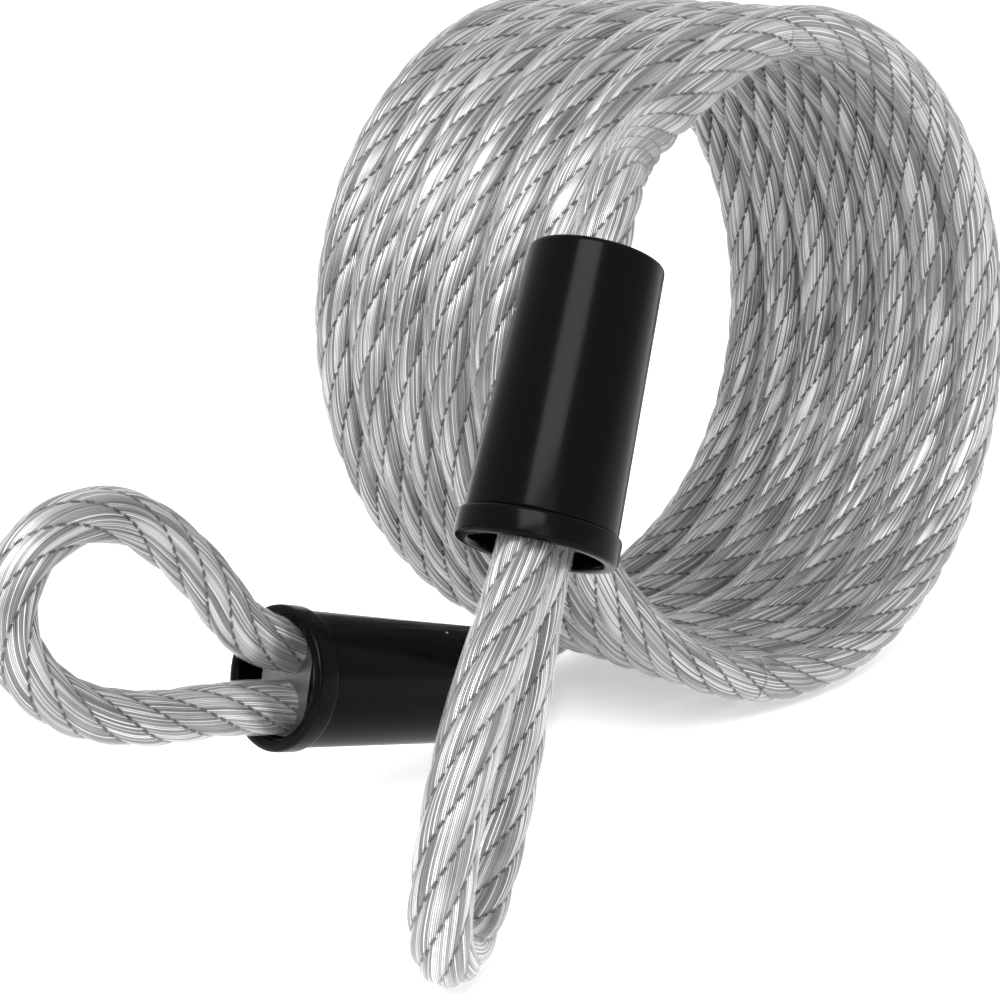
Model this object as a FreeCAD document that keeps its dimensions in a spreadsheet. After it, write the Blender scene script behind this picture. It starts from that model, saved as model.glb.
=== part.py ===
import FreeCAD, Part
import Sketcher
import math
import os

# Self-coiling security cable: a steel rope in a clear vinyl jacket, wound into a
# seven-turn coil that lies on its side, with a crimped eye under a black cover at each
# end. Millimetres. +Z is up, the coil's axis runs along Y, and the origin is under the
# middle of the bounding box, on the surface that the cable lies on.

V = FreeCAD.Vector
X_AXIS = V(1, 0, 0)
Y_AXIS = V(0, 1, 0)
Z_AXIS = V(0, 0, 1)
TURNS = 7

doc = FreeCAD.newDocument("cable_lock")
sheet = doc.addObject("Spreadsheet::Sheet", "sizes")


# ---------------------------------------------------------------- driving dimensions
DIMENSIONS = [
    # cable section
    ("jacket_dia", 6.0),          # vinyl jacket, outside
    ("jacket_bore", 4.9),         # vinyl jacket, inside
    ("rope_dia", 4.8),            # 7 x 19 steel rope
    # coil
    ("coil_x", 30.2),             # coil axis, from the origin
    ("coil_y", 12.8),
    ("coil_radius", 38.4),        # to the cable's centre line
    ("turn_pitch", 6.3),
    ("tail_lift", 3.6),           # the far turn rests this much higher, on the cable's tail
    ("turn_gap_angle", 3.0),      # each turn's solid stops this far short of its neighbours
    ("near_turn_angle", 203.0),   # the near turn leaves the coil past its top
    ("tail_clear_angle", 22.0),   # the far turn stops short of its bottom, clear of the tail
    ("pivot_gap_angle", 1.5),     # the end turns stop this far short of a bend pivot
    # end covers
    ("cover_length", 26.8),
    ("cover_neck_dia", 13.3),     # at the coil side
    ("cover_mouth_dia", 15.0),
    ("cover_neck_wall", 2.6),
    ("cover_neck_hole", 6.4),
    ("cavity_neck_dia", 11.6),
    ("cavity_dia", 12.9),
    ("cavity_taper_end", 9.0),
    ("cover_edge_round", 0.8),
    # mouth ring
    ("ring_dia", 15.9),
    ("ring_length", 2.8),
    ("ring_spigot_dia", 13.8),
    ("ring_spigot_length", 1.8),
    ("ring_lip_round", 0.9),
    # ferrule
    ("ferrule_start", 13.9),      # from the cover's coil-side face
    ("ferrule_length", 14.0),
    ("ferrule_width", 12.5),
    ("ferrule_thickness", 8.2),
    ("ferrule_edge", 0.5),
    ("rope_spacing", 6.1),        # between the two runs in the ferrule
    ("tail_length", 1.2),         # the rope's dead end shows past the ferrule
    ("jacket_entry", 3.0),        # how far the cable's jacket reaches into the cover
    # bend pivots in the leads
    ("pivot_gap", 0.45),          # each tube stops this far from a pivot
]

for row, (alias, value) in enumerate(DIMENSIONS, start=1):
    sheet.set("A%d" % row, alias)
    sheet.set("B%d" % row, str(value))
    sheet.setAlias("B%d" % row, alias)
doc.recompute()
ALIASES = {alias for alias, _ in DIMENSIONS}


def size(alias):
    """A driving dimension, read from the sheet."""
    return float(sheet.get(alias))


def formula(text):
    """Turn 'rope_dia / 2' into a formula on the sheet's cells."""
    return " ".join("sizes." + word if word in ALIASES else word for word in text.split())


def value_of(text):
    """The number that a formula gives now."""
    total, sign, pending = 0.0, 1.0, None
    words = text.split()
    number = lambda w: size(w) if w in ALIASES else float(w)
    index = 0
    while index < len(words):
        word = words[index]
        if word in "+-":
            total += sign * pending
            sign = 1.0 if word == "+" else -1.0
            pending = None
        elif word in "*/":
            index += 1
            factor = number(words[index])
            pending = pending * factor if word == "*" else pending / factor
        else:
            pending = number(word)
        index += 1
    return total + sign * pending


def bind(obj, **links):
    """Tie properties to sheet cells: bind(torus, Radius2="rope_dia / 2")."""
    for name, text in links.items():
        obj.setExpression(name, formula(text))


# ---------------------------------------------------------------- places in the frame
COIL_SHIFT = V(size("coil_x"), size("coil_y"), 0)


def turn_centre(turn):
    """Turn 1 is the far one and rests on the cable's tail; turn 7 is on the surface."""
    steps = (TURNS + 1) / 2.0 - turn
    lift = size("tail_lift") * (TURNS - turn) / (TURNS - 1.0)
    height = size("coil_radius") + size("jacket_dia") / 2 + lift
    return COIL_SHIFT + V(0, steps * size("turn_pitch"), height)


def on_turn(turn, degrees):
    """A centre-line point on a turn: 0 is its bottom, 90 is toward +X, 180 is its top."""
    a = math.radians(degrees)
    r = size("coil_radius")
    return turn_centre(turn) + V(r * math.sin(a), 0, -r * math.cos(a))


def end_placement(neck, azimuth, dip, roll):
    """An end assembly's frame: x runs out along the cover, y across the loop's two runs."""
    turned = FreeCAD.Rotation(Z_AXIS, azimuth)
    tilted = FreeCAD.Rotation(Y_AXIS, dip)
    rolled = FreeCAD.Rotation(X_AXIS, roll)
    return FreeCAD.Placement(neck + COIL_SHIFT, turned.multiply(tilted).multiply(rolled))


def in_frame(placement, points):
    return [placement.multVec(V(x, y, 0)) for x, y in points]


END_A = end_placement(V(-51.7, -34.7, 62.5), azimuth=190.0, dip=59.6, roll=69.0)
END_B = end_placement(V(-40.3, 0.0, 9.6), azimuth=177.0, dip=-17.6, roll=90.0)

# Centre line of each loop, in its end's frame, from inside the ferrule round and back.
# Loop A hangs straight and just touches the surface; loop B is bent a little upward.
ferrule_end = size("ferrule_start") + size("ferrule_length")
run_side = size("rope_spacing") / 2
crimp_inside = 22.5
LOOP_A = [(crimp_inside, run_side), (33.5, run_side), (44.0, 8.6), (56.5, 10.6),
          (67.6, 5.2), (67.6, -5.2),
          (56.5, -10.6), (44.0, -8.6), (33.5, -run_side), (crimp_inside, -run_side)]
LOOP_B = [(crimp_inside, run_side), (33.0, run_side), (41.0, 11.4), (52.3, 17.2),
          (62.0, 13.0), (63.9, 3.6),
          (56.5, -3.6), (45.5, -5.0), (34.0, -run_side), (crimp_inside, -run_side)]

# Centre line of the rope inside a cover, from the hole in its neck to the ferrule.
INNER_RUN = [(size("jacket_entry"), 0.0), (6.6, 0.0), (12.9, run_side), (16.9, run_side)]

# Leads, from the coil to the cover. The last but one run holds the bend pivot.
LEAD_A = [on_turn(7, size("near_turn_angle")),
          V(-27.2, -20.1, 71.2) + COIL_SHIFT,
          V(-38.6, -27.2, 69.9) + COIL_SHIFT] + in_frame(END_A, [(-7.0, 0), (6.0, 0)])
LEAD_B = [on_turn(1, 0),
          V(-10.0, 18.9, 3.3) + COIL_SHIFT,
          V(-19.5, 13.2, 3.05) + COIL_SHIFT,
          V(-28.5, 4.6, 5.0) + COIL_SHIFT] + in_frame(END_B, [(-2.4, 0), (6.0, 0)])


# ---------------------------------------------------------------- tubes along a route
ARC_SHARE = 0.45


def route_edges(points):
    """Straight runs joined by tangent arcs. Returns (edges, run number of each, radii)."""
    edges, runs, radii = [], [], []
    start = points[0]
    for i in range(1, len(points) - 1):
        before, corner, after = points[i - 1], points[i], points[i + 1]
        into = (corner - before)
        out = (after - corner)
        trim = ARC_SHARE * min(into.Length, out.Length)
        half_turn = into.getAngle(out) / 2
        radius = trim / math.tan(half_turn)
        into.normalize()
        out.normalize()
        arc_start = corner - into * trim
        arc_end = corner + out * trim
        inward = out - into
        inward.normalize()
        middle = corner + inward * (radius / math.cos(half_turn) - radius)
        edges += [Part.LineSegment(start, arc_start), Part.Arc(arc_start, middle, arc_end)]
        runs += [i - 1, None]
        radii.append(round(radius, 1))
        start = arc_end
    edges.append(Part.LineSegment(start, points[-1]))
    runs.append(len(points) - 2)
    return edges, runs, radii


def split_route(points, run):
    """Cut a route at the middle of one straight run, leaving the pivot's gap."""
    edges, runs, radii = route_edges(points)
    at = runs.index(run)
    line = edges[at]
    pivot = (line.StartPoint + line.EndPoint) * 0.5
    along = line.EndPoint - line.StartPoint
    along.normalize()
    gap = along * size("pivot_gap")
    first = edges[:at] + [Part.LineSegment(line.StartPoint, pivot - gap)]
    second = [Part.LineSegment(pivot + gap, line.EndPoint)] + edges[at + 1:]
    return first, second, pivot, radii


def tube(edges, radius):
    wire = Part.Wire([e.toShape() for e in edges])
    first = wire.OrderedEdges[0]
    start = first.valueAt(first.FirstParameter)
    along = first.tangentAt(first.FirstParameter)
    section = Part.Wire(Part.makeCircle(radius, start, along))
    solid = wire.makePipeShell([section], True, False)
    area = math.pi * radius ** 2
    print("    tube: length %.1f, volume / (section x length) = %.4f"
          % (wire.Length, abs(solid.Volume) / (area * wire.Length)))
    return solid


def hollow_tube(edges):
    outer = tube(edges, size("jacket_dia") / 2)
    return outer.cut(tube(longer(edges), size("jacket_bore") / 2))


def longer(edges):
    """The same route with both its ends run out by a millimetre, for a clean bore."""
    first, last = edges[0], edges[-1]
    back = first.StartPoint - first.EndPoint
    ahead = last.EndPoint - last.StartPoint
    back.normalize()
    ahead.normalize()
    start = Part.LineSegment(first.StartPoint + back, first.EndPoint)
    end = Part.LineSegment(last.StartPoint, last.EndPoint + ahead)
    return [start] + edges[1:-1] + [end]


def feature(label, shape, placement=None):
    obj = doc.addObject("Part::Feature", label)
    obj.Label = label
    obj.Shape = shape
    if placement is not None:
        obj.Placement = placement
    return obj


# ---------------------------------------------------------------- coil turns
def sector_torus(name, tube_radius, turn, start, stop):
    """A torus sector about Y, from `start` to `stop` degrees round the turn."""
    ring = doc.addObject("Part::Torus", name)
    bind(ring, Radius1="coil_radius", Radius2=tube_radius)
    ring.Angle3 = stop - start
    stand = FreeCAD.Rotation(X_AXIS, Z_AXIS.cross(X_AXIS), Y_AXIS * -1, "ZXY")
    spin = FreeCAD.Rotation(Y_AXIS * -1, start - 90.0)
    ring.Placement = FreeCAD.Placement(turn_centre(turn), spin.multiply(stand))
    return ring


def turn_limits(turn):
    gap = size("turn_gap_angle")
    start, stop = gap, 360.0 - gap
    if turn == 1:
        start = size("pivot_gap_angle")
        stop = 360.0 - size("tail_clear_angle")
    if turn == TURNS:
        stop = size("near_turn_angle") - size("pivot_gap_angle")
    return start, stop


def make_turn(turn):
    start, stop = turn_limits(turn)
    outer = sector_torus("jacket_outer_%d" % turn, "jacket_dia / 2", turn, start, stop)
    inner = sector_torus("jacket_bore_%d" % turn, "jacket_bore / 2", turn, start - 1, stop + 1)
    jacket = doc.addObject("Part::Cut", "jacket_turn_%d" % turn)
    jacket.Base = outer
    jacket.Tool = inner
    jacket.Label = "jacket_turn_%d" % turn
    rope = sector_torus("rope_turn_%d" % turn, "rope_dia / 2", turn, start, stop)
    rope.Label = "rope_turn_%d" % turn
    return [jacket, rope]


# ---------------------------------------------------------------- turned parts
def origin_feature(body, role):
    return next(f for f in body.Origin.OriginFeatures if f.Role == role)


def turned_body(label, corners):
    """A body of revolution about x. `corners` are (x, radius) formulas of its outline."""
    body = doc.addObject("PartDesign::Body", label)
    body.Label = label
    sketch = body.newObject("Sketcher::SketchObject", label + "_outline")
    sketch.AttachmentSupport = [(origin_feature(body, "XY_Plane"), "")]
    sketch.MapMode = "FlatFace"
    places = [V(value_of(x), value_of(r), 0) for x, r in corners]
    count = len(places)
    for i in range(count):
        sketch.addGeometry(Part.LineSegment(places[i], places[(i + 1) % count]), False)
    for i in range(count):
        sketch.addConstraint(Sketcher.Constraint("Coincident", i, 2, (i + 1) % count, 1))
    for i, (x, r) in enumerate(corners):
        if value_of(x) == 0.0:
            sketch.addConstraint(Sketcher.Constraint("PointOnObject", i, 1, -2))
        else:
            dimension(sketch, "DistanceX", i, x)
        dimension(sketch, "DistanceY", i, r)
    turned = body.newObject("PartDesign::Revolution", label + "_turned")
    turned.Profile = sketch
    turned.ReferenceAxis = (sketch, ["H_Axis"])
    turned.Angle = 360.0
    body.Tip = turned
    doc.recompute()
    return body, turned


def dimension(sketch, kind, line, text):
    number = sketch.addConstraint(
        Sketcher.Constraint(kind, -1, 1, line, 1, value_of(text)))
    sketch.setExpression("Constraints[%d]" % number, formula(text))


def round_edges(body, base, label, radius_alias, wanted):
    """Fillet the circular edges for which wanted(x, radius) holds."""
    names = []
    for number, edge in enumerate(base.Shape.Edges, start=1):
        if isinstance(edge.Curve, Part.Circle):
            if wanted(edge.Curve.Center.x, edge.Curve.Radius):
                names.append("Edge%d" % number)
    fillet = body.newObject("PartDesign::Fillet", label)
    fillet.Base = (base, names)
    fillet.Radius = size(radius_alias)
    fillet.setExpression("Radius", formula(radius_alias))
    body.Tip = fillet
    doc.recompute()


def make_cover(end, placement):
    label = "cover_" + end
    body, turned = turned_body(label, [
        ("0", "cover_neck_hole / 2"),
        ("0", "cover_neck_dia / 2"),
        ("cover_length", "cover_mouth_dia / 2"),
        ("cover_length", "ring_spigot_dia / 2"),
        ("cover_length - ring_spigot_length", "ring_spigot_dia / 2"),
        ("cover_length - ring_spigot_length", "cavity_dia / 2"),
        ("cavity_taper_end", "cavity_dia / 2"),
        ("cover_neck_wall", "cavity_neck_dia / 2"),
        ("cover_neck_wall", "cover_neck_hole / 2"),
    ])
    outer_neck = size("cover_neck_dia") / 2
    round_edges(body, turned, label + "_neck_edge", "cover_edge_round",
                lambda x, r: abs(x) < 0.01 and abs(r - outer_neck) < 0.01)
    body.Placement = placement
    return [body]


def make_ring(end, placement):
    label = "mouth_ring_" + end
    body, turned = turned_body(label, [
        ("cover_length - ring_spigot_length", "cavity_dia / 2"),
        ("cover_length - ring_spigot_length", "ring_spigot_dia / 2"),
        ("cover_length", "ring_spigot_dia / 2"),
        ("cover_length", "ring_dia / 2"),
        ("cover_length + ring_length", "ring_dia / 2"),
        ("cover_length + ring_length", "cavity_dia / 2"),
    ])
    lip = size("ring_dia") / 2
    face = size("cover_length") + size("ring_length")
    round_edges(body, turned, label + "_lip", "ring_lip_round",
                lambda x, r: abs(x - face) < 0.01 and abs(r - lip) < 0.01)
    body.Placement = placement
    return [body]


# ---------------------------------------------------------------- ferrule
def make_ferrule(end, placement):
    """A flat-sided sleeve pressed over the two runs of rope."""
    label = "ferrule_" + end
    block = doc.addObject("Part::Box", label + "_middle")
    bind(block, Length="ferrule_length", Width="ferrule_width - ferrule_thickness",
         Height="ferrule_thickness")
    half_flat = (size("ferrule_width") - size("ferrule_thickness")) / 2
    block.Placement.Base = V(size("ferrule_start"), -half_flat, -size("ferrule_thickness") / 2)
    rods = [block]
    bores = []
    for side in (-1, 1):
        name = "%s_%s" % (label, "low" if side < 0 else "high")
        rod = x_cylinder(name, "ferrule_thickness / 2", side * half_flat, 0.0)
        rods.append(rod)
        bores.append(x_cylinder(name + "_bore", "rope_dia / 2 + 0.05", side * run_side, 1.0))
    outside = doc.addObject("Part::MultiFuse", label + "_outside")
    outside.Shapes = rods
    inside = doc.addObject("Part::MultiFuse", label + "_bores")
    inside.Shapes = bores
    sleeve = doc.addObject("Part::Cut", label)
    sleeve.Base = outside
    sleeve.Tool = inside
    sleeve.Label = label
    sleeve.Placement = placement
    return [sleeve]


def x_cylinder(name, radius, y, extra):
    rod = doc.addObject("Part::Cylinder", name)
    bind(rod, Radius=radius, Height="ferrule_length + %s" % (2 * extra))
    rod.Placement = FreeCAD.Placement(V(size("ferrule_start") - extra, y, 0),
                                      FreeCAD.Rotation(Y_AXIS, 90))
    return rod


# ---------------------------------------------------------------- loops, necks and leads
def make_loop(end, placement, loop, neck_edges):
    """The loop's jacket, and the rope from the neck, through the ferrule and round it."""
    points = in_frame(placement, loop)
    edges, _, radii = route_edges(points)
    print("  loop %s: bend radii" % end, radii)
    leaves = placement.multVec(V(ferrule_end, run_side, 0))
    returns = placement.multVec(V(ferrule_end, -run_side, 0))
    edges[0] = Part.LineSegment(leaves, edges[0].EndPoint)
    edges[-1] = Part.LineSegment(edges[-1].StartPoint, returns)
    jacket = feature("loop_jacket_" + end, hollow_tube(edges))
    dead_end = size("ferrule_start") - size("tail_length")
    inner = in_frame(placement, INNER_RUN)
    inner_edges, _, _ = route_edges(inner)
    live = Part.LineSegment(inner[-1], leaves)
    dead = Part.LineSegment(returns, placement.multVec(V(dead_end, -run_side, 0)))
    run = neck_edges + inner_edges + [live] + edges + [dead]
    rope = feature("loop_rope_" + end, tube(run, size("rope_dia") / 2))
    return [jacket, rope]


def make_lead(end, placement, lead):
    """The lead between the coil and the bend pivot, and the neck from there to the cover."""
    run = len(lead) - 3
    first, second, pivot, radii = split_route(lead, run)
    print("  lead %s: bend radii" % end, radii)
    print("  lead %s: pivots at" % end, [round(c, 3) for c in lead[0]],
          [round(c, 3) for c in pivot])
    along = lead[1] - lead[0]
    along.normalize()
    start = lead[0] + along * size("pivot_gap")
    first[0] = Part.LineSegment(start, first[0].EndPoint)
    entry = placement.multVec(V(size("jacket_entry"), 0, 0))
    second[-1] = Part.LineSegment(second[-1].StartPoint, entry)
    lead_parts = [feature("lead_jacket_" + end, hollow_tube(first)),
                  feature("lead_rope_" + end, tube(first, size("rope_dia") / 2)),
                  feature("neck_jacket_" + end, hollow_tube(second))]
    return lead_parts, second


def make_end(end, placement, loop, lead):
    parts, neck_edges = make_lead(end, placement, lead)
    parts += make_loop(end, placement, loop, neck_edges)
    parts += make_cover(end, placement)
    parts += make_ring(end, placement)
    parts += make_ferrule(end, placement)
    return parts


# ---------------------------------------------------------------- build and write
nodes = []
for turn in range(1, TURNS + 1):
    nodes += make_turn(turn)
nodes += make_end("a", END_A, LOOP_A, LEAD_A)
nodes += make_end("b", END_B, LOOP_B, LEAD_B)
doc.recompute()

for obj in doc.Objects:
    for state in obj.State:
        if state in ("Invalid", "Error"):
            raise RuntimeError("%s is %s" % (obj.Label, state))
for node in nodes:
    if node.Shape.isNull() or not node.Shape.isValid():
        raise RuntimeError("bad shape: " + node.Label)

whole = FreeCAD.BoundBox()
for node in nodes:
    whole.add(node.Shape.optimalBoundingBox(False))
print("bounds x %.2f %.2f  y %.2f %.2f  z %.2f %.2f"
      % (whole.XMin, whole.XMax, whole.YMin, whole.YMax, whole.ZMin, whole.ZMax))

os.makedirs("parts", exist_ok=True)
for node in nodes:
    node.Shape.exportStep("parts/%s.step" % node.Label)
    print("  %-16s %8.1f mm3  solids %d" % (node.Label, node.Shape.Volume, len(node.Shape.Solids)))
print("nodes:", len(nodes))
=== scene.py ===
# %% [markdown]
# # A self-coiling security cable
#
# This script dresses an engineering model of a laptop security cable: a steel rope in a
# clear vinyl jacket, wound into seven turns, with an eye under a black cover at each end.
# It runs from top to bottom in Blender, one cell at a time. Every cell prints what it
# made, so the reader can stop anywhere and look.

import math

import bpy
import numpy as np
from mathutils import Matrix, Vector


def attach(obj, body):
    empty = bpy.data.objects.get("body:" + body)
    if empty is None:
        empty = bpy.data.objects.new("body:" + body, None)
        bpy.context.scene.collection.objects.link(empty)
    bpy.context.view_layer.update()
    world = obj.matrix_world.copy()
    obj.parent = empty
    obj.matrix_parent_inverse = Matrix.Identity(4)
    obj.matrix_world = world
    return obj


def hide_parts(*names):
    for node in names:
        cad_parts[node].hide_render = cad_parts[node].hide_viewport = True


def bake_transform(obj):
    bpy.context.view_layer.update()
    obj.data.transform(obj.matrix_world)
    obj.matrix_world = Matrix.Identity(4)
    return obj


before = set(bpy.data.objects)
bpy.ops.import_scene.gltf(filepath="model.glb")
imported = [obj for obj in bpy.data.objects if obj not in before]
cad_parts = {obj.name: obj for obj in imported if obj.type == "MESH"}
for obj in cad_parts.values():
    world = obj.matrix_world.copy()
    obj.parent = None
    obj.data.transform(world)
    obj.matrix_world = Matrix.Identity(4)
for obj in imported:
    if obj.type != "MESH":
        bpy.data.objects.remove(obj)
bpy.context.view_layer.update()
print("engineering model:", len(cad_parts), "pieces")

# %% [markdown]
# ## Camera
#
# The camera stands in front of the coil and to its left, a little above it, and looks
# down slightly, rolled by a degree or two. A long lens, 83 mm, keeps the near and far
# turns almost the same size.

# %% Camera
MM = 0.001
COIL_AXIS = Vector((30.2, 12.8, 0.0))      # where the coil's axis stands, in mm

camera_place = (COIL_AXIS + Vector((-214.8, -184.0, 94.4))) * MM
camera_right = Vector((0.6949, -0.7141, -0.0853)).normalized()
camera_up = Vector((0.2316, 0.1099, 0.9666)).normalized()
camera_back = camera_right.cross(camera_up)

camera_data = bpy.data.cameras.new("camera")
camera_data.lens = 82.8
camera_data.sensor_width = 36.0
camera_data.clip_start = 0.01
camera_data.clip_end = 10.0
camera = bpy.data.objects.new("camera", camera_data)
bpy.context.scene.collection.objects.link(camera)
turn = Matrix((camera_right, camera_up, camera_back)).transposed()
camera.matrix_world = Matrix.Translation(camera_place) @ turn.to_4x4()
bpy.context.scene.camera = camera
print("camera at", [round(c, 3) for c in camera.location])

# %% [markdown]
# ## The cable's route
#
# The cable is one line in space. It starts inside one black cover, passes under the
# coil, climbs round it for six and a half turns, and ends inside the other cover. Two
# more lines make the eyes. Each line is a NURBS curve: we give it control points and it
# rounds the corners by itself, as a stiff cable does.
#
# Each end has its own frame, with x along the cover and y across the two runs of its eye.

# %% End frames
def end_frame(neck, azimuth, dip, roll):
    """Where an end stands: turned about z, tipped about y, then rolled about x."""
    turned = Matrix.Rotation(math.radians(azimuth), 3, "Z")
    tipped = Matrix.Rotation(math.radians(dip), 3, "Y")
    rolled = Matrix.Rotation(math.radians(roll), 3, "X")
    place = Matrix.Translation(Vector(neck) + COIL_AXIS)
    return place @ (turned @ tipped @ rolled).to_4x4()


def at_end(end, x, y, z=0.0):
    return end @ Vector((x, y, z))


END_A = end_frame((-51.7, -34.7, 62.5), azimuth=190.0, dip=59.6, roll=69.0)
END_B = end_frame((-40.3, 0.0, 9.6), azimuth=177.0, dip=-17.6, roll=90.0)
print("end a reaches", [round(c, 1) for c in at_end(END_A, 67.6, 0)])

# %% [markdown]
# ## Turns of the coil
#
# A coil's points come from a loop: sixteen for each turn. The spline cuts inside its
# control points, so they stand a little outside the wanted circle. The far turn rests on
# the cable's own tail, so it is lifted. Each turn crosses over to the next one on its
# way down to the bottom, which keeps the first turn clear of the tail that leaves there.
# The turns lie almost against each other, with one wider gap after the fourth.

# %% Coil points
RADIUS = 38.4
JACKET = 3.0
TAIL_LIFT = 3.6
POINTS_PER_TURN = 16
LAST_ANGLE = 6 * 360 + 203
RIGHT_SIDE = [18.9, 12.7, 6.5, 0.3, -6.0, -12.5, -18.9]
LEFT_SIDE = [20.2, 14.1, 8.0, 1.9, -5.7, -12.1, -18.9]


def side_shift(turns):
    """How far along the axis the cable is, for a number of turns from its start."""
    knots_at = []
    knots = []
    for i in range(7):
        knots_at += [i, i + 0.25, i + 0.75]
        knots += [RIGHT_SIDE[i], RIGHT_SIDE[i], LEFT_SIDE[i]]
    return float(np.interp(turns, knots_at, knots))


def coil_point(degrees):
    turns = degrees / 360.0
    control_radius = RADIUS / math.cos(math.pi / POINTS_PER_TURN)
    lift = TAIL_LIFT * max(0.0, 1.0 - turns / 6.0)
    a = math.radians(degrees)
    return COIL_AXIS + Vector((control_radius * math.sin(a), side_shift(turns),
                               RADIUS + JACKET + lift - control_radius * math.cos(a)))


step = 360.0 / POINTS_PER_TURN
coil_count = int((LAST_ANGLE - step / 2) // step) + 1
coil_points = [coil_point(step * (i + 0.5)) for i in range(coil_count)]
print("coil:", coil_count, "points")

# %% Route points
SIDE = 3.05                                # half the distance between an eye's two runs
LEAD_B = [at_end(END_B, 6.0, 0), at_end(END_B, -2.4, 0),
          COIL_AXIS + Vector((-28.5, 4.6, 5.0)),
          COIL_AXIS + Vector((-19.5, 13.2, 3.05)),
          COIL_AXIS + Vector((-10.0, 18.9, 3.3))]
LEAD_A = [COIL_AXIS + Vector((-27.2, -20.1, 71.2)),
          COIL_AXIS + Vector((-38.6, -27.2, 69.9)),
          at_end(END_A, -7.0, 0), at_end(END_A, 6.0, 0)]
LOOP_A = [at_end(END_A, x, y) for x, y in (
    (22.5, SIDE), (33.5, SIDE), (44.0, 8.6), (56.5, 10.6), (67.6, 5.2),
    (67.6, -5.2), (56.5, -10.6), (44.0, -8.6), (33.5, -SIDE), (22.5, -SIDE))]
LOOP_B = [at_end(END_B, x, y) for x, y in (
    (22.5, SIDE), (33.0, SIDE), (41.0, 11.4), (52.3, 17.2), (62.0, 13.0),
    (63.9, 3.6), (56.5, -3.6), (45.5, -5.0), (34.0, -SIDE), (22.5, -SIDE))]

# %% [markdown]
# ## From route to line
#
# Blender works out the smooth line for us. A curve object without any thickness turns
# into a mesh of bare points, and those points are what the rope and its jacket follow.

# %% Lines
RESOLUTION = 10


def smooth_line(name, points):
    """The NURBS line through control points, as an array of points in metres."""
    data = bpy.data.curves.new(name, "CURVE")
    data.dimensions = "3D"
    data.resolution_u = RESOLUTION
    spline = data.splines.new("NURBS")
    spline.points.add(len(points) - 1)
    for point, place in zip(spline.points, points):
        point.co = (*(place * MM), 1.0)
    spline.order_u = 3
    spline.use_endpoint_u = True
    holder = bpy.data.objects.new(name, data)
    bpy.context.scene.collection.objects.link(holder)
    bpy.context.view_layer.update()
    mesh = bpy.data.meshes.new_from_object(holder)
    line = np.array([v.co for v in mesh.vertices])
    bpy.data.objects.remove(holder)
    bpy.data.curves.remove(data)
    bpy.data.meshes.remove(mesh)
    return line


main_points = LEAD_B + coil_points + LEAD_A
lines = {"main": smooth_line("main_line", main_points),
         "loop_a": smooth_line("loop_a_line", LOOP_A),
         "loop_b": smooth_line("loop_b_line", LOOP_B)}
for name, line in lines.items():
    long = np.linalg.norm(np.diff(line, axis=0), axis=1).sum()
    print(name, len(line), "points,", round(long, 3), "m")

# %% [markdown]
# ## Frames along a line
#
# To wrap something round a line we need two directions across it at every point. They
# are carried along from point to point without twisting, so the pattern of the rope
# runs on unbroken from one piece of the cable to the next.

# %% Frames
def resample(line, spacing):
    """Points at even steps along a line, with the distance of each."""
    steps = np.linalg.norm(np.diff(line, axis=0), axis=1)
    reach = np.concatenate([[0], np.cumsum(steps)])
    count = max(2, int(round(reach[-1] / spacing)) + 1)
    at = np.linspace(0, reach[-1], count)
    even = np.stack([np.interp(at, reach, line[:, i]) for i in range(3)], axis=1)
    return even, at, reach


def soften(line, rounds=6):
    """Takes the small corners out of a line, and keeps its two ends."""
    for _ in range(rounds):
        inner = 0.25 * line[:-2] + 0.5 * line[1:-1] + 0.25 * line[2:]
        line = np.concatenate([line[:1], inner, line[-1:]])
    return line


def carried_frames(points):
    """Unit tangents and two unit directions across, at every point."""
    tangents = np.gradient(points, axis=0)
    tangents /= np.linalg.norm(tangents, axis=1)[:, None]
    across = np.zeros_like(points)
    guess = np.cross(tangents[0], (0.0, 0.0, 1.0))
    if np.linalg.norm(guess) < 0.1:
        guess = np.cross(tangents[0], (0.0, 1.0, 0.0))
    across[0] = guess / np.linalg.norm(guess)
    for i in range(1, len(points)):
        kept = across[i - 1] - tangents[i] * (across[i - 1] @ tangents[i])
        across[i] = kept / np.linalg.norm(kept)
    return tangents, across, np.cross(tangents, across)


SPACING = 0.0005
routes = {}
for name, line in lines.items():
    even, at, reach = resample(line, SPACING)
    even = soften(even)
    routes[name] = (even, at, reach, *carried_frames(even))
    print(name, len(even), "rings")

# %% [markdown]
# ## The stranded rope
#
# The rope has six outer strands laid up to the right, and each strand has a crown of
# fine wires. One surface is enough for all of it: its radius swells and dips six times
# round, and that pattern turns once every 31 mm. The wires are too fine for geometry,
# so each point also gets two coordinates, the distance along the rope and the angle
# round it, and the material draws the wires from them.

# %% Rope surface
ROPE_RADIUS = 0.00292                      # as wide as it looks through the clear jacket
STRAND_RADIUS = 0.00101
VALLEY_SHARE = 0.45                        # vinyl fills the valleys and makes them shallow
LAY = 0.031
STRANDS = 6
COLUMNS = 72


def rope_outline(angle):
    """Radius of six round strands side by side, at an angle from a strand's middle."""
    centre = ROPE_RADIUS - STRAND_RADIUS
    half = math.pi / STRANDS
    local = np.abs((angle + half) % (2 * half) - half)
    root = STRAND_RADIUS ** 2 - (centre * np.sin(local)) ** 2
    strands = centre * np.cos(local) + np.sqrt(np.maximum(root, 1e-9))
    return ROPE_RADIUS - VALLEY_SHARE * (ROPE_RADIUS - strands)


def new_piece(name, vertices, faces, material):
    mesh = bpy.data.meshes.new(name)
    mesh.from_pydata([tuple(v) for v in vertices], [], faces)
    mesh.shade_smooth()
    mesh.materials.append(material)
    piece = bpy.data.objects.new(name, mesh)
    bpy.context.scene.collection.objects.link(piece)
    return piece


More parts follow.
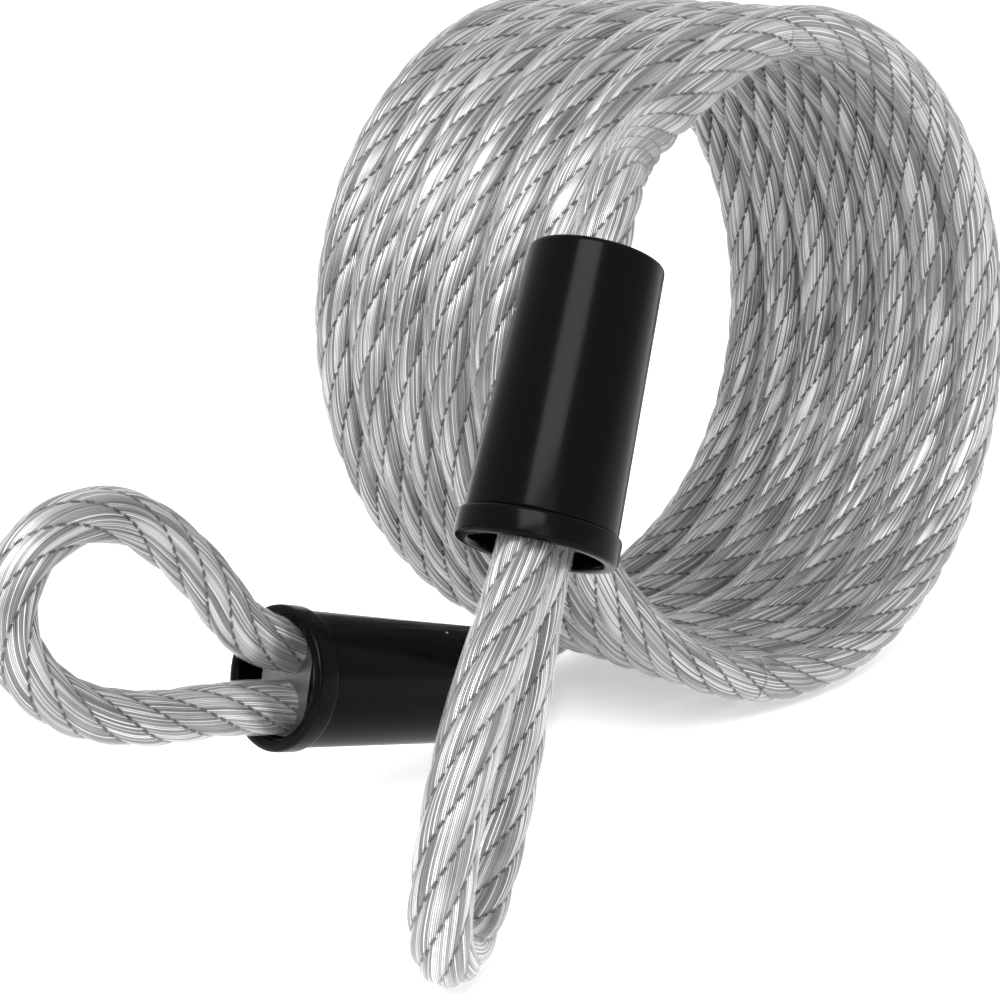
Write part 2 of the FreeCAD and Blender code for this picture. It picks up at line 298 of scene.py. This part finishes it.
def ring_faces(rings, columns):
    """Quads between neighbouring rings of a tube."""
    r, c = np.meshgrid(np.arange(rings - 1), np.arange(columns), indexing="ij")
    a = r * columns + c
    b = r * columns + (c + 1) % columns
    quads = np.stack([a, b, b + columns, a + columns], axis=-1).reshape(-1, 4)
    return quads.tolist()


def caps(rings, columns):
    """One flat face over each end of a tube."""
    first = list(range(columns))[::-1]
    last = [(rings - 1) * columns + i for i in range(columns)]
    return [first, last]


def ring_range(route, low, high):
    """The rings between two distances along a route."""
    at = routes[route][1]
    chosen = np.nonzero((at >= low - 1e-9) & (at <= high + 1e-9))[0]
    return slice(max(chosen[0] - 1, 0), min(chosen[-1] + 2, len(at)))


def make_rope(name, route, low, high, material):
    points, at, _, _, across, above = routes[route]
    part = ring_range(route, low, high)
    points, at, across, above = points[part], at[part], across[part], above[part]
    angles = np.linspace(0, 2 * math.pi, COLUMNS, endpoint=False)
    twisted = angles[None, :] - 2 * math.pi * at[:, None] / LAY
    radius = rope_outline(twisted)
    ring = (points[:, None, :]
            + across[:, None, :] * (radius * np.cos(angles)[None, :])[..., None]
            + above[:, None, :] * (radius * np.sin(angles)[None, :])[..., None])
    rings = len(points)
    faces = ring_faces(rings, COLUMNS) + caps(rings, COLUMNS)
    piece = new_piece(name, ring.reshape(-1, 3), faces, material)
    layer = piece.data.uv_layers.new(name="rope")
    loops = np.empty(len(piece.data.loops), dtype=np.int32)
    piece.data.loops.foreach_get("vertex_index", loops)
    column = loops % COLUMNS
    row = loops // COLUMNS
    corner = np.arange(len(loops)) % 4
    quads = (rings - 1) * COLUMNS * 4
    on_side = np.arange(len(loops)) < quads
    wraps = (column == 0) & ((corner == 1) | (corner == 2)) & on_side
    v = (column + np.where(wraps, COLUMNS, 0)) / COLUMNS
    both = np.stack([at[row] / MM, v], axis=1)
    layer.data.foreach_set("uv", both.ravel().astype(np.float32))
    return piece

# %% [markdown]
# ## Steel seen through vinyl
#
# The rope's material works in the two coordinates along and round the rope. Wires run
# almost straight along it, so they are narrow bands round the angle, a little slanted.
# A row of dark dots, painted shade, marks the valley between strands. The bands go into
# a bump as well, so every wire catches its own small highlight; they also darken the
# colour toward each wire's sides as painted shade.

# %% Shader helpers
def new_material(name):
    material = bpy.data.materials.new(name)
    material.use_nodes = True
    tree = material.node_tree
    return material, tree, tree.nodes["Principled BSDF"]


def math_node(tree, operation, a, b=None, c=None):
    """A Math node: its inputs are numbers or sockets. Gives back the output socket."""
    node = tree.nodes.new("ShaderNodeMath")
    node.operation = operation
    for socket, value in zip(node.inputs, (a, b, c)):
        if value is None:
            continue
        if isinstance(value, (int, float)):
            socket.default_value = value
        else:
            tree.links.new(value, socket)
    return node.outputs[0]


def ramp_node(tree, source, stops):
    node = tree.nodes.new("ShaderNodeValToRGB")
    while len(node.color_ramp.elements) < len(stops):
        node.color_ramp.elements.new(0.5)
    for element, (place, grey) in zip(node.color_ramp.elements, stops):
        element.position = place
        element.color = (grey, grey, grey, 1.0)
    tree.links.new(source, node.inputs[0])
    return node.outputs[0]


def wire_pattern_group():
    """Shared pattern: puts out the wires' height, the valleys' painted shade and a grey
    value.
    """
    group = bpy.data.node_groups.new("rope_wires", "ShaderNodeTree")
    face = group.interface
    face.new_socket("Lay", in_out="INPUT", socket_type="NodeSocketFloat")
    face.new_socket("Wires", in_out="INPUT", socket_type="NodeSocketFloat")
    face.new_socket("Slant", in_out="INPUT", socket_type="NodeSocketFloat")
    face.new_socket("Height", in_out="OUTPUT", socket_type="NodeSocketFloat")
    face.new_socket("Valley Shade", in_out="OUTPUT", socket_type="NodeSocketFloat")
    face.new_socket("Shade", in_out="OUTPUT", socket_type="NodeSocketFloat")
    inputs = group.nodes.new("NodeGroupInput")
    outputs = group.nodes.new("NodeGroupOutput")
    coords = group.nodes.new("ShaderNodeUVMap")
    coords.uv_map = "rope"
    split = group.nodes.new("ShaderNodeSeparateXYZ")
    group.links.new(coords.outputs[0], split.inputs[0])
    along, around = split.outputs[0], split.outputs[1]

    # strand coordinate: 0 in a valley, 1 at the next
    laid = math_node(group, "DIVIDE", along, inputs.outputs["Lay"])
    strand = math_node(group, "SUBTRACT", around, laid)
    strand = math_node(group, "MULTIPLY_ADD", strand, float(STRANDS), 0.5)
    strand_number = math_node(group, "FLOOR", strand)
    strand = math_node(group, "FRACT", strand)
    off_middle = math_node(group, "ABSOLUTE", math_node(group, "SUBTRACT", strand, 0.5))

    # wires: bands round the rope that bow toward the valleys
    bow = math_node(group, "MULTIPLY", math_node(group, "SUBTRACT", strand, 0.5), 2.4)
    slanted = math_node(group, "MULTIPLY_ADD", along, inputs.outputs["Slant"], bow)
    band = math_node(group, "MULTIPLY_ADD", around, inputs.outputs["Wires"], slanted)
    offset = math_node(group, "MULTIPLY", strand_number, 0.37)
    band = math_node(group, "ADD", band, offset)
    wire_number = math_node(group, "FLOOR", band)
    wave = math_node(group, "ABSOLUTE", math_node(
        group, "SUBTRACT", math_node(group, "FRACT", band), 0.5))
    height = math_node(group, "SQRT", math_node(
        group, "SUBTRACT", 1.0, math_node(group, "POWER", math_node(
            group, "MULTIPLY", wave, 2.0), 2.0)))

    # valleys: painted shade, dark, ragged at their sides, and broken into dots along the rope
    depth = math_node(group, "SUBTRACT", off_middle, 0.36)
    ragged = math_node(group, "MULTIPLY", height, 0.05)
    depth = math_node(group, "SUBTRACT", depth, ragged)
    depth = math_node(group, "MULTIPLY", depth, 11.0)
    valley_shade = math_node(group, "MINIMUM", math_node(group, "MAXIMUM", depth, 0.0), 1.0)
    step_along = math_node(group, "FRACT", math_node(group, "MULTIPLY", along, 0.85))
    shade_dots = math_node(group, "GREATER_THAN", step_along, 0.38)
    valley_shade = math_node(group, "MULTIPLY", valley_shade, math_node(
        group, "MULTIPLY_ADD", shade_dots, 0.80, 0.20))

    # every wire has its own grey, and patches of cable differ a little
    white = group.nodes.new("ShaderNodeTexWhiteNoise")
    white.noise_dimensions = "2D"
    pair = group.nodes.new("ShaderNodeCombineXYZ")
    group.links.new(wire_number, pair.inputs[0])
    group.links.new(strand_number, pair.inputs[1])
    group.links.new(pair.outputs[0], white.inputs["Vector"])
    patch = group.nodes.new("ShaderNodeTexNoise")
    patch.inputs["Scale"].default_value = 140.0
    patch.inputs["Detail"].default_value = 2.0
    place = group.nodes.new("ShaderNodeTexCoord")
    group.links.new(place.outputs["Object"], patch.inputs["Vector"])
    shade = math_node(group, "MULTIPLY_ADD", white.outputs["Value"], 0.62, 0.20)
    shade = math_node(group, "MULTIPLY_ADD", patch.outputs["Fac"], 0.40, shade)
    group.links.new(height, outputs.inputs["Height"])
    group.links.new(valley_shade, outputs.inputs["Valley Shade"])
    group.links.new(shade, outputs.inputs["Shade"])
    return group


def steel_rope_material():
    material, tree, shader = new_material("steel_rope_look")
    pattern = tree.nodes.new("ShaderNodeGroup")
    pattern.node_tree = wire_pattern_group()
    pattern.inputs["Lay"].default_value = LAY * 1000
    pattern.inputs["Wires"].default_value = 84.0
    pattern.inputs["Slant"].default_value = -0.10
    # painted shade: the colour is darker toward each wire's sides
    edge = math_node(tree, "MULTIPLY_ADD", pattern.outputs["Height"], 0.80, 0.20)
    steel_with_side_shade = math_node(tree, "MULTIPLY", edge, pattern.outputs["Shade"])
    # the painted shade in the valleys takes the steel's colour almost to black
    keep = math_node(tree, "MULTIPLY_ADD", pattern.outputs["Valley Shade"], -0.96, 1.0)
    grey = math_node(tree, "MULTIPLY", steel_with_side_shade, keep)
    colour = ramp_node(tree, grey, [(0.0, 0.002), (0.30, 0.045), (0.60, 0.19), (0.95, 0.60)])
    tree.links.new(colour, shader.inputs["Base Color"])
    shader.inputs["Metallic"].default_value = 0.75
    shader.inputs["Roughness"].default_value = 0.30
    bump = tree.nodes.new("ShaderNodeBump")
    bump.inputs["Strength"].default_value = 0.7
    bump.inputs["Distance"].default_value = 0.00012
    tree.links.new(pattern.outputs["Height"], bump.inputs["Height"])
    tree.links.new(bump.outputs[0], shader.inputs["Normal"])
    return material


steel_rope = steel_rope_material()
print("material", steel_rope.name)

# %% [markdown]
# ## Clear vinyl
#
# A thin, almost invisible shell stands over the strands. It lets most of the light
# through, and adds the soft gloss and the faint milkiness of plasticised vinyl.

# %% Clear vinyl
def clear_vinyl_material():
    material, tree, shader = new_material("clear_vinyl_look")
    noise = tree.nodes.new("ShaderNodeTexNoise")
    noise.inputs["Scale"].default_value = 260.0
    noise.inputs["Detail"].default_value = 3.0
    place = tree.nodes.new("ShaderNodeTexCoord")
    tree.links.new(place.outputs["Object"], noise.inputs["Vector"])
    rim = tree.nodes.new("ShaderNodeLayerWeight")
    rim.inputs["Blend"].default_value = 0.35
    edge = math_node(tree, "MULTIPLY", math_node(
        tree, "POWER", rim.outputs["Facing"], 2.5), 0.35)
    haze = math_node(tree, "MULTIPLY_ADD", noise.outputs["Fac"], 0.10, edge)
    rough = math_node(tree, "MULTIPLY_ADD", noise.outputs["Fac"], 0.18, 0.12)
    tree.links.new(haze, shader.inputs["Alpha"])
    tree.links.new(rough, shader.inputs["Roughness"])
    shader.inputs["Base Color"].default_value = (0.93, 0.94, 0.94, 1.0)
    shader.inputs["IOR"].default_value = 1.53
    shader.inputs["Coat Weight"].default_value = 0.6
    shader.inputs["Coat Roughness"].default_value = 0.12
    bump = tree.nodes.new("ShaderNodeBump")
    bump.inputs["Strength"].default_value = 0.25
    bump.inputs["Distance"].default_value = 0.0001
    tree.links.new(noise.outputs["Fac"], bump.inputs["Height"])
    tree.links.new(bump.outputs[0], shader.inputs["Normal"])
    return material


clear_vinyl = clear_vinyl_material()

# %% [markdown]
# ## Sweeping the jacket
#
# The jacket is the same everywhere: a circle swept along the line. Geometry Nodes does
# that with two nodes. The tree has named inputs, and each piece of jacket is baked to a
# plain mesh once it is made.

# %% Jacket tree
def jacket_tree():
    tree = bpy.data.node_groups.new("sweep_jacket", "GeometryNodeTree")
    face = tree.interface
    face.new_socket("Geometry", in_out="INPUT", socket_type="NodeSocketGeometry")
    face.new_socket("Radius", in_out="INPUT", socket_type="NodeSocketFloat")
    face.new_socket("Sides", in_out="INPUT", socket_type="NodeSocketInt")
    face.new_socket("Material", in_out="INPUT", socket_type="NodeSocketMaterial")
    face.new_socket("Geometry", in_out="OUTPUT", socket_type="NodeSocketGeometry")
    start = tree.nodes.new("NodeGroupInput")
    end = tree.nodes.new("NodeGroupOutput")
    to_curve = tree.nodes.new("GeometryNodeMeshToCurve")
    circle = tree.nodes.new("GeometryNodeCurvePrimitiveCircle")
    sweep = tree.nodes.new("GeometryNodeCurveToMesh")
    smooth = tree.nodes.new("GeometryNodeSetShadeSmooth")
    realize = tree.nodes.new("GeometryNodeRealizeInstances")
    paint = tree.nodes.new("GeometryNodeSetMaterial")
    tree.links.new(start.outputs["Geometry"], to_curve.inputs["Mesh"])
    tree.links.new(start.outputs["Radius"], circle.inputs["Radius"])
    tree.links.new(start.outputs["Sides"], circle.inputs["Resolution"])
    tree.links.new(to_curve.outputs["Curve"], sweep.inputs["Curve"])
    tree.links.new(circle.outputs["Curve"], sweep.inputs["Profile Curve"])
    tree.links.new(sweep.outputs["Mesh"], smooth.inputs["Geometry"])
    tree.links.new(smooth.outputs["Geometry"], realize.inputs["Geometry"])
    tree.links.new(realize.outputs["Geometry"], paint.inputs["Geometry"])
    tree.links.new(start.outputs["Material"], paint.inputs["Material"])
    tree.links.new(paint.outputs["Geometry"], end.inputs["Geometry"])
    return tree


JACKET_SIDES = 40
JACKET_TREE = jacket_tree()
SOCKETS = {item.name: item.identifier for item in JACKET_TREE.interface.items_tree
           if item.in_out == "INPUT"}


def make_jacket(name, route, low, high, material):
    points, at = routes[route][0], routes[route][1]
    part = ring_range(route, low, high)
    path = points[part][::2]
    if not np.allclose(path[-1], points[part][-1]):
        path = np.concatenate([path, points[part][-1:]])
    mesh = bpy.data.meshes.new(name + "_line")
    links = [(i, i + 1) for i in range(len(path) - 1)]
    mesh.from_pydata([tuple(p) for p in path], links, [])
    worker = bpy.data.objects.new(name + "_worker", mesh)
    bpy.context.scene.collection.objects.link(worker)
    modifier = worker.modifiers.new("sweep", "NODES")
    modifier.node_group = JACKET_TREE
    modifier[SOCKETS["Radius"]] = JACKET * MM
    modifier[SOCKETS["Sides"]] = JACKET_SIDES
    modifier[SOCKETS["Material"]] = material
    ready = worker.evaluated_get(bpy.context.evaluated_depsgraph_get())
    baked = bpy.data.meshes.new_from_object(ready)
    baked.name = name
    piece = bpy.data.objects.new(name, baked)
    bpy.context.scene.collection.objects.link(piece)
    bpy.data.objects.remove(worker)
    bpy.data.meshes.remove(mesh)
    return piece, path


# %% [markdown]
# ## Cutting the cable into pieces
#
# The coil stretches and the ends swing, so the cable is drawn in pieces. A piece on the
# right side of a turn goes with its turn. A piece on the left, between one turn and the
# next, is baked in place and goes with no body, and so is every piece that crosses a joint
# of a lead.

# %% Pieces of cable
def distance_at(route, corner):
    """Distance along a route to the middle of the leg after control point `corner`."""
    reach = routes[route][2]
    return float(reach[corner * RESOLUTION])


def cable_piece(name, route, low, high, jackets, ropes, body=None, bend=None):
    """Rope and jacket between two distances. `bend` is (body, body, start, end); its values
    are not used, only whether it is given.
    """
    rope = make_rope("rope_" + name, route, low, high, steel_rope)
    jacket, path = make_jacket("jacket_" + name, route, low, high, clear_vinyl)
    for piece, nodes, slot in ((rope, ropes, "steel_rope"), (jacket, jackets, "clear_vinyl")):
        if bend is None:
            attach(piece, body)
        else:
            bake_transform(piece)
        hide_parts(*nodes)
    return rope, jacket, path


def around(line_point, along, reach):
    """Two points, a distance either side of a pivot along a direction."""
    return tuple(line_point - along * reach), tuple(line_point + along * reach)


def line_at(route, distance):
    """The point and the direction at a distance along a route."""
    points, at, _, tangents = routes[route][:4]
    index = int(np.argmin(np.abs(at - distance)))
    return points[index], tangents[index]


FIRST_COIL = len(LEAD_B)                    # control point where the coil begins
HALF = POINTS_PER_TURN // 2
BEND_REACH = 0.006                         # distance either side of a pivot for the two points given with a piece
COVER_BEND_REACH = 0.0042
last = len(main_points) - 2                 # the last leg's number, inside cover a
total = routes["main"][1][-1]

pivot_b_cover = line_at("main", distance_at("main", 1))
pivot_b_coil = line_at("main", distance_at("main", FIRST_COIL - 1))
pivot_a_coil = line_at("main", distance_at("main", last - 4))
pivot_a_cover = line_at("main", distance_at("main", last - 2))

cable = []
cable.append(cable_piece(
    "neck_b", "main", 0.0, distance_at("main", 2), ["neck_jacket_b"], [],
    bend=("end_b", "lead_b", *around(*pivot_b_cover, COVER_BEND_REACH))))
cable.append(cable_piece(
    "lead_b", "main", distance_at("main", 2), distance_at("main", FIRST_COIL),
    ["lead_jacket_b"], ["lead_rope_b"],
    bend=("lead_b", "turn_1", *around(*pivot_b_coil, BEND_REACH))))
for turn_number in range(1, 8):
    start = FIRST_COIL - 1 + (turn_number - 1) * POINTS_PER_TURN
    low = distance_at("main", start if turn_number > 1 else FIRST_COIL)
    top = distance_at("main", start + HALF)
    body = "turn_%d" % turn_number
    if turn_number == 7:
        top = distance_at("main", last - 5)
    cable.append(cable_piece(
        "turn_%d_right" % turn_number, "main", low, top,
        ["jacket_" + body], ["rope_" + body], body=body))
    if turn_number < 7:
        low, high = top, distance_at("main", start + POINTS_PER_TURN)
        top_place = tuple(line_at("main", low)[0])
        low_place = tuple(line_at("main", high)[0])
        level = (top_place[0], top_place[1], low_place[2])
        cable.append(cable_piece(
            "turn_%d_left" % turn_number, "main", low, high,
            ["jacket_" + body], ["rope_" + body],
            bend=(body, "turn_%d" % (turn_number + 1), top_place, level)))
cable.append(cable_piece(
    "lead_a", "main", distance_at("main", last - 5), distance_at("main", last - 3),
    ["lead_jacket_a"], ["lead_rope_a"],
    bend=("turn_7", "lead_a", *around(*pivot_a_coil, BEND_REACH))))
cable.append(cable_piece(
    "neck_a", "main", distance_at("main", last - 3), total, ["neck_jacket_a"], [],
    bend=("lead_a", "end_a", *around(*pivot_a_cover, COVER_BEND_REACH))))
for end in "ab":
    route = "loop_" + end
    cable.append(cable_piece(
        route, route, 0.0, routes[route][1][-1],
        ["loop_jacket_" + end], ["loop_rope_" + end], body="end_" + end))
print("cable pieces:", len(cable))

# %% [markdown]
# ## Covers, rings and ferrules
#
# Covers and rings are turned shapes: an outline of radius against distance, spun round
# the cover's own axis. A short bevel on every corner gives the edges their thin
# highlights.

# %% Turned parts
SPIN = 96


def lathe(name, end, outline, material):
    """A closed outline of (distance, radius) in mm, spun round an end's x axis."""
    vertices = []
    for x, r in outline:
        for i in range(SPIN):
            a = 2 * math.pi * i / SPIN
            vertices.append(tuple(at_end(end, x, r * math.cos(a), r * math.sin(a)) * MM))
    count = len(outline)
    faces = []
    for j in range(count):
        for i in range(SPIN):
            a = j * SPIN + i
            b = j * SPIN + (i + 1) % SPIN
            up = ((j + 1) % count - j) * SPIN
            faces.append((a, a + up, b + up, b))
    piece = new_piece(name, vertices, faces, material)
    return piece


def rounded(corners, radius, steps=4):
    """An outline whose corners are rounded: each corner becomes a short curve."""
    outline = []
    count = len(corners)
    for i in range(count):
        before, corner, after = (Vector(corners[(i + k) % count]) for k in (-1, 0, 1))
        cut = min(radius, (before - corner).length * 0.45, (after - corner).length * 0.45)
        a = corner + (before - corner).normalized() * cut
        b = corner + (after - corner).normalized() * cut
        for s in range(steps + 1):
            t = s / steps
            outline.append(tuple(a * (1 - t) ** 2 + corner * 2 * t * (1 - t) + b * t ** 2))
    return outline


COVER = [(0.0, 3.2), (0.0, 6.65), (26.8, 7.5), (26.8, 6.9), (25.0, 6.9), (25.0, 6.45),
         (9.0, 6.45), (2.6, 5.8), (2.6, 3.2)]
RING = [(25.0, 6.45), (25.0, 6.9), (26.8, 6.9), (26.8, 7.95), (29.6, 7.95), (29.6, 6.45)]


def black_plastic_material():
    material, tree, shader = new_material("black_plastic_look")
    place = tree.nodes.new("ShaderNodeTexCoord")
    specks = tree.nodes.new("ShaderNodeTexVoronoi")
    specks.inputs["Scale"].default_value = 260.0
    tree.links.new(place.outputs["Object"], specks.inputs["Vector"])
    pick = tree.nodes.new("ShaderNodeTexNoise")
    pick.inputs["Scale"].default_value = 320.0
    tree.links.new(place.outputs["Object"], pick.inputs["Vector"])
    near = math_node(tree, "LESS_THAN", specks.outputs["Distance"], 0.045)
    rare = math_node(tree, "GREATER_THAN", pick.outputs["Fac"], 0.64)
    dust = math_node(tree, "MULTIPLY", near, rare)
    mix = ramp_node(tree, dust, [(0.0, 0.0015), (1.0, 0.55)])
    tree.links.new(mix, shader.inputs["Base Color"])
    soft = tree.nodes.new("ShaderNodeTexNoise")
    soft.inputs["Scale"].default_value = 90.0
    tree.links.new(place.outputs["Object"], soft.inputs["Vector"])
    rough = math_node(tree, "MULTIPLY_ADD", soft.outputs["Fac"], 0.10, 0.14)
    tree.links.new(rough, shader.inputs["Roughness"])
    shader.inputs["Specular IOR Level"].default_value = 0.05
    return material


def aluminium_material():
    material, tree, shader = new_material("aluminium_look")
    place = tree.nodes.new("ShaderNodeTexCoord")
    noise = tree.nodes.new("ShaderNodeTexNoise")
    noise.inputs["Scale"].default_value = 500.0
    tree.links.new(place.outputs["Object"], noise.inputs["Vector"])
    rough = math_node(tree, "MULTIPLY_ADD", noise.outputs["Fac"], 0.25, 0.25)
    tree.links.new(rough, shader.inputs["Roughness"])
    shader.inputs["Metallic"].default_value = 1.0
    # painted shade: the metal is given a dark grey for the shade on the ferrule's face
    shader.inputs["Base Color"].default_value = (0.15, 0.15, 0.15, 1.0)
    return material


black_plastic = black_plastic_material()
shaded_aluminium = aluminium_material()

# %% Place them at both ends
for end, place in (("a", END_A), ("b", END_B)):
    cover = lathe("cover_shell_" + end, place, rounded(COVER, 0.55), black_plastic)
    ring = lathe("ring_shell_" + end, place, rounded(RING, 0.6), black_plastic)
    for piece, node in ((cover, "cover_" + end), (ring, "mouth_ring_" + end)):
        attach(piece, "end_" + end)
        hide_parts(node)
    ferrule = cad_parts["ferrule_" + end]
    ferrule.data.materials.clear()
    ferrule.data.materials.append(shaded_aluminium)
print("covers, rings and ferrules in place")

# %% [markdown]
# ## Floor and light
#
# A white table, a bright surround and two large soft lights. Steel and vinyl show what
# is round them, so the surround is pale. The table glows a little, to stay white.

# %% Stage
floor_material, _, floor_shader = new_material("floor_look")
floor_shader.inputs["Base Color"].default_value = (0.95, 0.95, 0.95, 1.0)
floor_shader.inputs["Roughness"].default_value = 0.6
floor_shader.inputs["Emission Color"].default_value = (1.0, 1.0, 1.0, 1.0)
floor_shader.inputs["Emission Strength"].default_value = 0.4
bpy.ops.mesh.primitive_plane_add(size=6.0, location=(0.0, 0.0, -0.0005))
floor = bpy.context.object
floor.name = "floor"
floor.data.materials.append(floor_material)

world = bpy.data.worlds.new("studio")
bpy.context.scene.world = world
world.use_nodes = True
world.node_tree.nodes["Background"].inputs[0].default_value = (1.0, 1.0, 1.0, 1.0)
world.node_tree.nodes["Background"].inputs[1].default_value = 1.05


def soft_light(name, place, aim, width, power):
    data = bpy.data.lights.new(name, "AREA")
    data.shape = "SQUARE"
    data.size = width
    data.energy = power
    light = bpy.data.objects.new(name, data)
    bpy.context.scene.collection.objects.link(light)
    light.location = place
    direction = Vector(aim) - Vector(place)
    light.rotation_mode = "QUATERNION"
    light.rotation_quaternion = direction.to_track_quat("-Z", "Y")
    return light


soft_light("key", (-0.45, -0.35, 0.70), (0.0, 0.0, 0.03), 0.5, 9.5)
soft_light("front", (-0.55, -0.65, 0.30), (0.0, 0.0, 0.04), 0.35, 1.5)
bpy.context.scene.view_settings.view_transform = "Standard"
print("stage ready")
